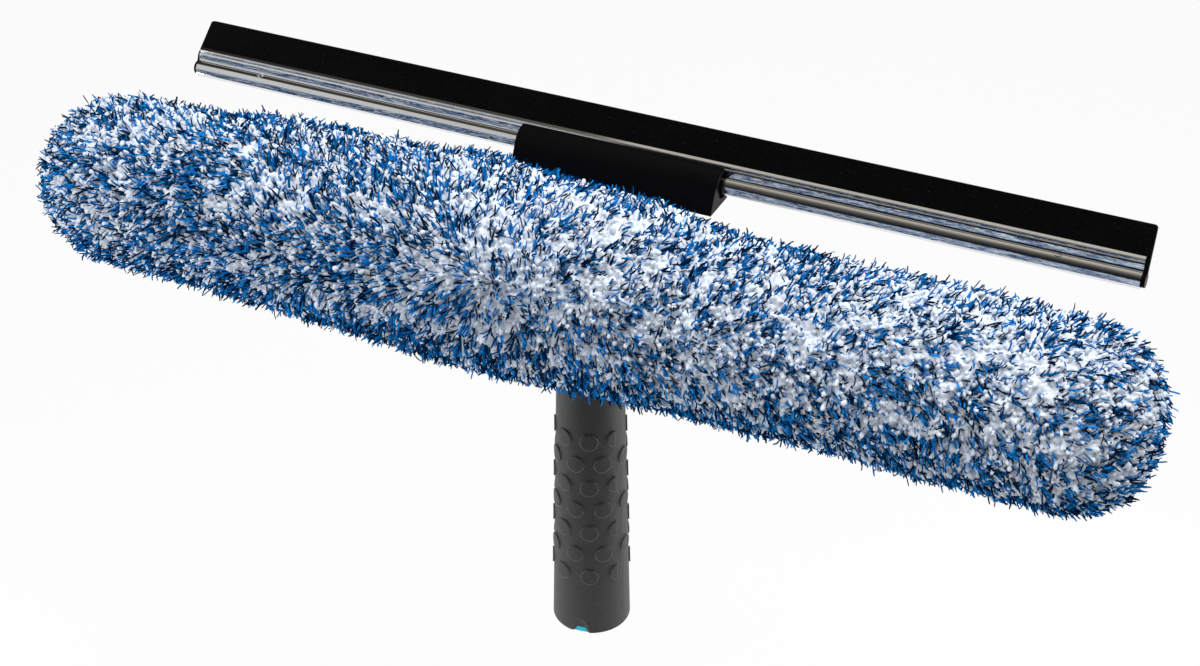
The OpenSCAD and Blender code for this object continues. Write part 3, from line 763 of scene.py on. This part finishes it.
def pile_flow(x, angle, point, along, around, rng, spread=0.4):
    """Direction in which the pile lies, and how strongly: away from the parting on the front,
    lengthwise and round the sleeve, turned by slow swirls and a little at random."""
    turn = np.mod(angle - PARTING_ANGLE + math.pi, 2 * math.pi) - math.pi
    lengthwise = (x - PARTING_X) / 200.0
    roundwise = 40.0 * turn / 90.0
    size = np.hypot(lengthwise, roundwise) + 1e-6
    twist = 0.5 * waves(point, 70.0, 5) + 0.45 * waves(point, 24.0, 6)
    twist = twist + rng.normal(0, spread, len(x))
    a, b = lengthwise / size, roundwise / size
    a, b = a * np.cos(twist) - b * np.sin(twist), a * np.sin(twist) + b * np.cos(twist)
    flow = a[:, None] * along + b[:, None] * around
    return flow / np.linalg.norm(flow, axis=1)[:, None], size / (size + 0.08)


def hair_faces(rings, sides):
    """Triangles of one hair, whose points are its root, its rings from the root up and its tip:
    a fan at the root, two triangles for each side between two rings, and a fan at the tip."""
    j = np.arange(sides)
    k = (j + 1) % sides
    low = np.stack([0 * j, 1 + k, 1 + j], 1)
    last = 1 + rings * sides
    high = np.stack([0 * j + last, last - sides + j, last - sides + k], 1)
    walls = []
    for i in range(rings - 1):
        a, b = 1 + i * sides, 1 + (i + 1) * sides
        walls += [np.stack([a + j, a + k, b + k], 1), np.stack([a + j, b + k, b + j], 1)]
    return np.concatenate([low, *walls, high])


def hairs(root, normal, flow, length, lean, bend, curl, radius, outline, sides, rough=0.0,
          seed=0):
    """Many closed hairs at once. Each runs from its root, leaning from the normal towards the
    flow by an angle that grows steadily along it, and curls sideways; round it stand rings of
    corners, at the places and with the shares of the radius that the outline gives, each corner
    shaken by the share rough. Returns the points, the triangles, for each point how far along
    its hair it lies, and the number of points in one hair."""
    rng = np.random.default_rng(seed)
    stations, shares = np.array(outline).T
    count, rings = len(root), len(stations)
    fine = np.linspace(0.0, 1.0, HAIR_STEPS + 1)
    side = np.cross(normal, flow)
    lie = lean[:, None] + bend[:, None] * fine
    swing = curl[:, None] * fine
    way = (np.cos(lie)[..., None] * normal[:, None]
           + (np.sin(lie) * np.cos(swing))[..., None] * flow[:, None]
           + (np.sin(lie) * np.sin(swing))[..., None] * side[:, None])
    track = np.cumsum(way, axis=1) * (length / HAIR_STEPS)[:, None, None]
    track -= track[:, :1]
    t = np.concatenate([[0.0], stations, [1.0]])
    index = t * HAIR_STEPS
    before = np.minimum(index.astype(int), HAIR_STEPS - 1)
    part = (index - before)[None, :, None]
    path = root[:, None] + track[:, before] * (1 - part) + track[:, before + 1] * part
    way = way[:, np.round(index[1:-1]).astype(int)]
    u = np.cross(way, normal[:, None] * 0.6 + side[:, None])
    u /= np.linalg.norm(u, axis=2)[..., None]
    w = np.cross(way, u)
    turn = 2 * math.pi * np.arange(sides) / sides
    ring = (np.cos(turn)[None, None, :, None] * u[:, :, None]
            + np.sin(turn)[None, None, :, None] * w[:, :, None])
    r = radius[:, None, None] * shares[None, :, None]
    r = r * (1 + rough * rng.uniform(-1, 1, (count, rings, sides)))
    body = path[:, 1:-1, None] + ring * r[..., None]
    points = np.concatenate(
        [path[:, :1], body.reshape(count, rings * sides, 3), path[:, -1:]], axis=1)
    size = 2 + rings * sides
    faces = hair_faces(rings, sides)[None] + (np.arange(count) * size)[:, None, None]
    far = np.concatenate([[0.0], np.repeat(stations, sides), [1.0]])
    return points.reshape(-1, 3), faces.reshape(-1, 3), np.tile(far, count), size


def hair_pieces(name, made, shade, material, limit=180000):
    """Puts hairs into as many mesh pieces as keep each under the limit of triangles."""
    points, faces, far, size = made
    count = len(shade)
    per_hair = len(faces) // count
    parts = math.ceil(count * per_hair / limit)
    edges = np.linspace(0, count, parts + 1).astype(int)
    for i, (a, b) in enumerate(zip(edges[:-1], edges[1:])):
        part = piece(
            f"{name}_{i + 1}", points[a * size:b * size] * MM,
            faces[a * per_hair:b * per_hair] - a * size, material,
            attributes={"far": far[a * size:b * size], "shade": np.repeat(shade[a:b], size)})
        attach(part, "tool")


class SQUEEGEE_OT_sleeve(bpy.types.Operator):
    """Makes the sleeve: its woolly white pile, the loose white crumbs on it and blue strands"""

    bl_idname = "squeegee.sleeve"
    bl_label = "Sleeve"

    def execute(self, context):
        look = settings("pile")
        half = SLEEVE_HALF / MM
        shape = SleeveShape(SLEEVE_R / MM - PILE_DEPTH, (LEFT_END[0] - half, *LEFT_END[1:]),
                            (half - RIGHT_END[0], *RIGHT_END[1:]))
        white = self.white_yarn(look)
        self.backing(shape, white)
        self.tufts(shape, look, white)
        self.strands(shape, look)
        return {"FINISHED"}

    def white_yarn(self, look):
        """White pile: bluish grey to navy in its valleys, partly blue yarn and partly painted
        shade, soft white on its lobes, with a fine fuzz.
        """
        n = Nodes("white_yarn")
        grain = n.noise(n.place(), 1700.0, 3.0, 0.6)
        level = n.math("ADD", n.attribute("shade"),
                       n.math("MULTIPLY", n.math("SUBTRACT", grain, 0.5), 0.5))
        # Low shade in the valleys of the felt gives navy and dark blue: partly blue yarn, partly
        # painted shade
        wool = n.ramp(level, [
            (0.0, look.navy), (0.2, tint(look.blue, 0.35)), (0.32, tint(look.white, 0.75)),
            (0.46, tint(look.white, 1.02)), (1.0, tint(look.white, 1.3))])
        streak = n.ramp(n.noise(n.place(scale=(0.35, 1.0, 1.0)), 1500.0, 1.0, 0.5), [
            (0.4, look.navy), (0.5, tint(look.blue, 0.45)), (0.62, tint(look.blue, 1.3))])
        n.set(
            Base_Color=n.mix(n.attribute("blue"), wool, streak),
            Roughness=0.8,
            Specular_IOR_Level=0.0,
            Normal=n.bump(grain, 0.5, 0.0004),
        )
        return n.material

    def backing(self, shape, white):
        """The padded sleeve with its woolly surface: a closed grid between two poles, drawn in
        round the neck and sunk where the neck passes through."""
        lines, around, sunk = 610, 340, 12.0
        s = np.linspace(0.5, shape.length - 0.5, lines)
        angle = np.linspace(0, 2 * math.pi, around, endpoint=False)
        s, angle = np.meshgrid(s, angle, indexing="ij")
        rows, columns = s.shape
        ends = np.array([0.0, shape.length])
        s, angle = np.append(s, ends), np.append(angle, ends * 0)
        x = shape.profile(s)[0]
        plain = shape.at(s, angle)[0]
        height, level = felt(plain)
        height[-2:] = height[:columns].mean(), height[-2 - columns:-2].mean()
        inside = near_neck(x, angle, 0.0)
        edge = near_neck(x, angle, 2.5)
        out = np.where(inside, -sunk, np.where(edge, 0.4 * height, height))
        blue = np.clip(0.95 - 2.4 * level + 1.2 * streaks(plain, angle), 0, 1)
        a, b, c, d = grid_faces(rows, columns, around=True).T
        left, right = rows * columns, rows * columns + 1
        faces = np.concatenate([
            np.stack([a, b, c], 1), np.stack([a, c, d], 1),
            np.stack([a[:columns] * 0 + left, b[:columns], a[:columns]], 1),
            np.stack([d[-columns:], c[-columns:], d[-columns:] * 0 + right], 1)])
        # The shade attribute falls in the valleys, where the white yarn turns it into painted
        # shade
        made = piece("sleeve_backing", shape.at(s, angle, out)[0] * MM, faces, white,
                     attributes={"shade": 0.12 + 0.8 * level, "blue": blue})
        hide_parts("sleeve")
        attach(made, "tool")

    def places(self, shape, spacing, seed, margin):
        """Scattered places outside the margin round the neck, with their X."""
        s, angle = shape.scatter(spacing, seed)
        x = shape.profile(s)[0]
        free = ~near_neck(x, angle, margin)
        return s[free], angle[free], x[free]

    def tufts(self, shape, look, white):
        """Loose white crumbs of yarn that stand out of the woolly surface."""
        spacing = TUFT_SPACING * math.sqrt(TUFTS / look.tufts)
        s, angle, x = self.places(shape, spacing, 21, 2.2)
        rng = np.random.default_rng(22)
        kept = rng.uniform(0, 1, len(s)) < 0.85 - 0.9 * streaks(shape.at(s, angle)[0], angle)
        s, angle, x = s[kept], angle[kept], x[kept]
        count = len(s)
        point, normal, along, around = shape.at(s, angle)
        height, level = felt(point)
        flow, lie = pile_flow(x, angle, point, along, around, rng, 0.8)
        length = look.pile_length / MM * rng.uniform(0.28, 0.46, count)
        made = hairs(
            point + (height - 2.0)[:, None] * normal, normal, flow, length,
            lie * rng.uniform(0.0, 0.7, count), lie * rng.uniform(0.2, 1.0, count),
            rng.normal(0, 0.6, count), rng.uniform(0.7, 1.3, count),
            [(0.3, 0.8), (0.62, 1.0), (0.88, 0.8)], 5, rough=0.3, seed=23)
        # Tufts in the valleys get a lower shade, which the white yarn turns into painted shade
        shade = np.clip(0.4 + 0.45 * level + rng.normal(0, 0.12, count), 0, 1)
        hair_pieces("white_tufts", made, shade, white)

    def bundles(self, shape, spacing, seed, least, most, spread, base, gather):
        """Roots of strands that stand together in bundles of least to most, in streaks and in
        the valleys. A place is used with the chance base, and more where they gather; a bundle
        is turned as one by the spread. Returns the roots with their normals, the direction and
        strength of the pile there, and a random generator to go on with."""
        s, angle, x = self.places(shape, spacing, seed, 2.0)
        rng = np.random.default_rng(seed + 1)
        point = shape.at(s, angle)[0]
        wanted = base + gather * streaks(point, angle) - 0.5 * (felt(point)[1] - 0.5)
        kept = rng.uniform(0, 1, len(s)) < wanted
        s, angle, x = s[kept], angle[kept], x[kept]
        bundle = rng.integers(least, most + 1, len(s))
        of = np.repeat(np.arange(len(s)), bundle)
        count = len(of)
        r = np.maximum(6.0, shape.profile(s)[1][of])
        s = s[of] + rng.normal(0, 0.8, count)
        s = np.clip(s, POLE_GAP, shape.length - POLE_GAP)
        angle = angle[of] + rng.normal(0, 0.8, count) / r
        point, normal, along, around = shape.at(s, angle)
        turned = rng.normal(0, spread, len(bundle))[of]
        flow, lie = pile_flow(x[of], angle, point, along, around, rng, spread * 0.7)
        flow = (np.cos(turned)[:, None] * flow
                + np.sin(turned)[:, None] * np.cross(normal, flow))
        return point + felt(point)[0][:, None] * normal, normal, flow, lie, rng

    def strands(self, shape, look):
        """Blue pile: short thick locks that fill the valleys between the white crumbs, and thin
        strands, many of them dark, that lie over both and stand out at the outline."""
        blue = self.blue_yarn(look)
        wider = math.sqrt(STRANDS / look.strands)
        root, normal, flow, lie, rng = self.bundles(
            shape, LOCK_SPACING * wider, 31, 1, 3, 0.25, 0.66, 1.2)
        count = len(root)
        made = hairs(
            root - 1.5 * normal, normal, flow,
            look.pile_length / MM * rng.uniform(0.45, 0.8, count),
            lie * rng.uniform(0.9, 1.3, count), lie * rng.uniform(0.2, 0.6, count),
            rng.normal(0, 0.5, count), rng.uniform(0.38, 0.7, count),
            [(0.25, 0.85), (0.55, 1.0), (0.85, 0.7)], 3, rough=0.15, seed=33)
        hair_pieces("blue_locks", made, self.shades(rng, count, 0.38), blue)
        root, normal, flow, lie, rng = self.bundles(
            shape, STRAND_SPACING * wider, 41, 2, 5, 0.3, 0.88, 0.6)
        count = len(root)
        flat = rng.uniform(0, 1, count) < 0.6
        lean = np.where(flat, rng.uniform(1.0, 1.4, count), rng.uniform(0.3, 0.9, count))
        made = hairs(
            root - 0.9 * normal, normal, flow,
            look.pile_length / MM * rng.uniform(0.3, 0.66, count),
            lie * lean, lie * rng.uniform(0.1, 0.6, count),
            rng.normal(0, 1.2, count), rng.uniform(0.28, 0.46, count),
            [(0.35, 0.95), (0.7, 1.0), (0.94, 0.75)], 3, seed=44)
        hair_pieces("blue_strands", made, self.shades(rng, count, 0.42), blue)

    @staticmethod
    def shades(rng, count, dark):
        """A shade for each strand: the given share navy, the rest blue to azure."""
        return np.where(rng.uniform(0, 1, count) < dark, rng.uniform(0.0, 0.2, count),
                        rng.uniform(0.4, 1.0, count))

    def blue_yarn(self, look):
        """Blue strands: from bright azure to navy by their shade, dark at the tip, and dark at the
        root by painted shade where they dip into the pile.
        """
        n = Nodes("blue_yarn")
        shade = n.attribute("shade")
        far = n.attribute("far")
        body = n.ramp(shade, [
            (0.0, look.navy), (0.25, tint(look.blue, 0.3)), (0.55, look.blue),
            (1.0, tint(look.blue, 1.8))])
        tip = n.ramp(n.math("ADD", far, n.math("MULTIPLY", shade, -0.3)),
                     [(0.58, 0.0), (0.85, 0.9)])
        # Painted shade at the root, where the strand dips into the pile
        root = n.ramp(far, [(0.1, 1.0), (0.36, 0.0)])
        n.set(
            Base_Color=n.mix(n.math("MAXIMUM", tip, root), body, look.navy),
            Roughness=0.6,
            Specular_IOR_Level=0.0,
        )
        return n.material


# ---- Sidebar and start ----


class SQUEEGEE_PT_panel(bpy.types.Panel):
    """Lists the makers of the tool's pieces"""

    bl_idname = "SQUEEGEE_PT_panel"
    bl_label = "Window Squeegee"
    bl_space_type = "VIEW_3D"
    bl_region_type = "UI"
    bl_category = "Squeegee"

    def draw(self, context):
        """One box per part, with its settings and its operators."""
        for title, group, operators in PARTS:
            box = self.layout.box()
            box.label(text=title)
            values = getattr(context.scene, "squeegee_" + group)
            for key in values.bl_rna.properties.keys():
                if key not in ("rna_type", "name"):
                    box.prop(values, key)
            for operator in operators:
                box.operator(operator)


GROUPS = {
    "stage": StageSettings,
    "handle": HandleSettings,
    "blade": BladeSettings,
    "pile": PileSettings,
}
OPERATORS = [
    SQUEEGEE_OT_stage,
    SQUEEGEE_OT_handle,
    SQUEEGEE_OT_head,
    SQUEEGEE_OT_blade,
    SQUEEGEE_OT_strips,
    SQUEEGEE_OT_sleeve,
]
PARTS = [
    ("Stage", "stage", ["squeegee.stage"]),
    ("Handle and head", "handle", ["squeegee.handle", "squeegee.head"]),
    ("Blade", "blade", ["squeegee.blade"]),
    ("Sleeve", "pile", ["squeegee.strips", "squeegee.sleeve"]),
]


def register():
    """Makes the settings, the operators and the panel known to Blender."""
    for group in GROUPS.values():
        bpy.utils.register_class(group)
    for name, group in GROUPS.items():
        setattr(bpy.types.Scene, "squeegee_" + name, bpy.props.PointerProperty(type=group))
    for operator in [*OPERATORS, SQUEEGEE_PT_panel]:
        bpy.utils.register_class(operator)


def unregister():
    """Takes them away again, in reverse order."""
    for operator in reversed([*OPERATORS, SQUEEGEE_PT_panel]):
        bpy.utils.unregister_class(operator)
    for name, group in reversed(list(GROUPS.items())):
        delattr(bpy.types.Scene, "squeegee_" + name)
        bpy.utils.unregister_class(group)


def main():
    """Makes every part through its operator."""
    register()
    for _, _, operators in PARTS:
        for operator in operators:
            group, name = operator.split(".")
            getattr(getattr(bpy.ops, group), name)()


if __name__ == "__main__":
    main()
